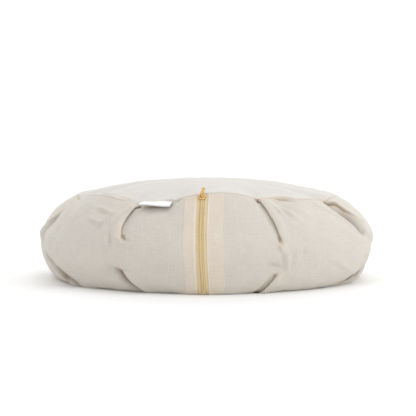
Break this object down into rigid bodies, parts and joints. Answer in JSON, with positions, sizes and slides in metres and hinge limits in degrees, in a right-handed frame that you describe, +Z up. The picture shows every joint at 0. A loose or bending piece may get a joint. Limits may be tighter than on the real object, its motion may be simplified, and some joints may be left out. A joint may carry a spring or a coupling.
{
  "type": "zafu meditation cushion",
  "caption": "Low round filled cushion: two sewn round panels and a side band with knife pleats, a short upright zip with its pull turned up and a blank care label.",
  "frame": {"origin": "under the middle of the cushion, on the floor it rests on", "axes": "+Z up; -Y is the front, where the zip runs up the side; +X is to the right seen from the front"},
  "size_m": [0.359, 0.3609, 0.1095],
  "materials": {
    "natural_cotton": "plain-weave undyed cotton, matt",
    "zip_tape": "woven beige tape, matt",
    "zip_coil_nylon": "beige nylon coil, satin",
    "zip_brass": "cast and lightly polished",
    "label_satin": "white woven label, blank"
  },
  "bodies": {
    "root": {"top_panel": "natural_cotton", "side_band": "natural_cotton", "bottom_panel": "natural_cotton", "zip_tape_left": "zip_tape", "zip_tape_right": "zip_tape", "zip_coil": "zip_coil_nylon", "zip_slider": "zip_brass", "zip_pull": "zip_brass", "care_label": "label_satin"}
  },
  "joints": []
}
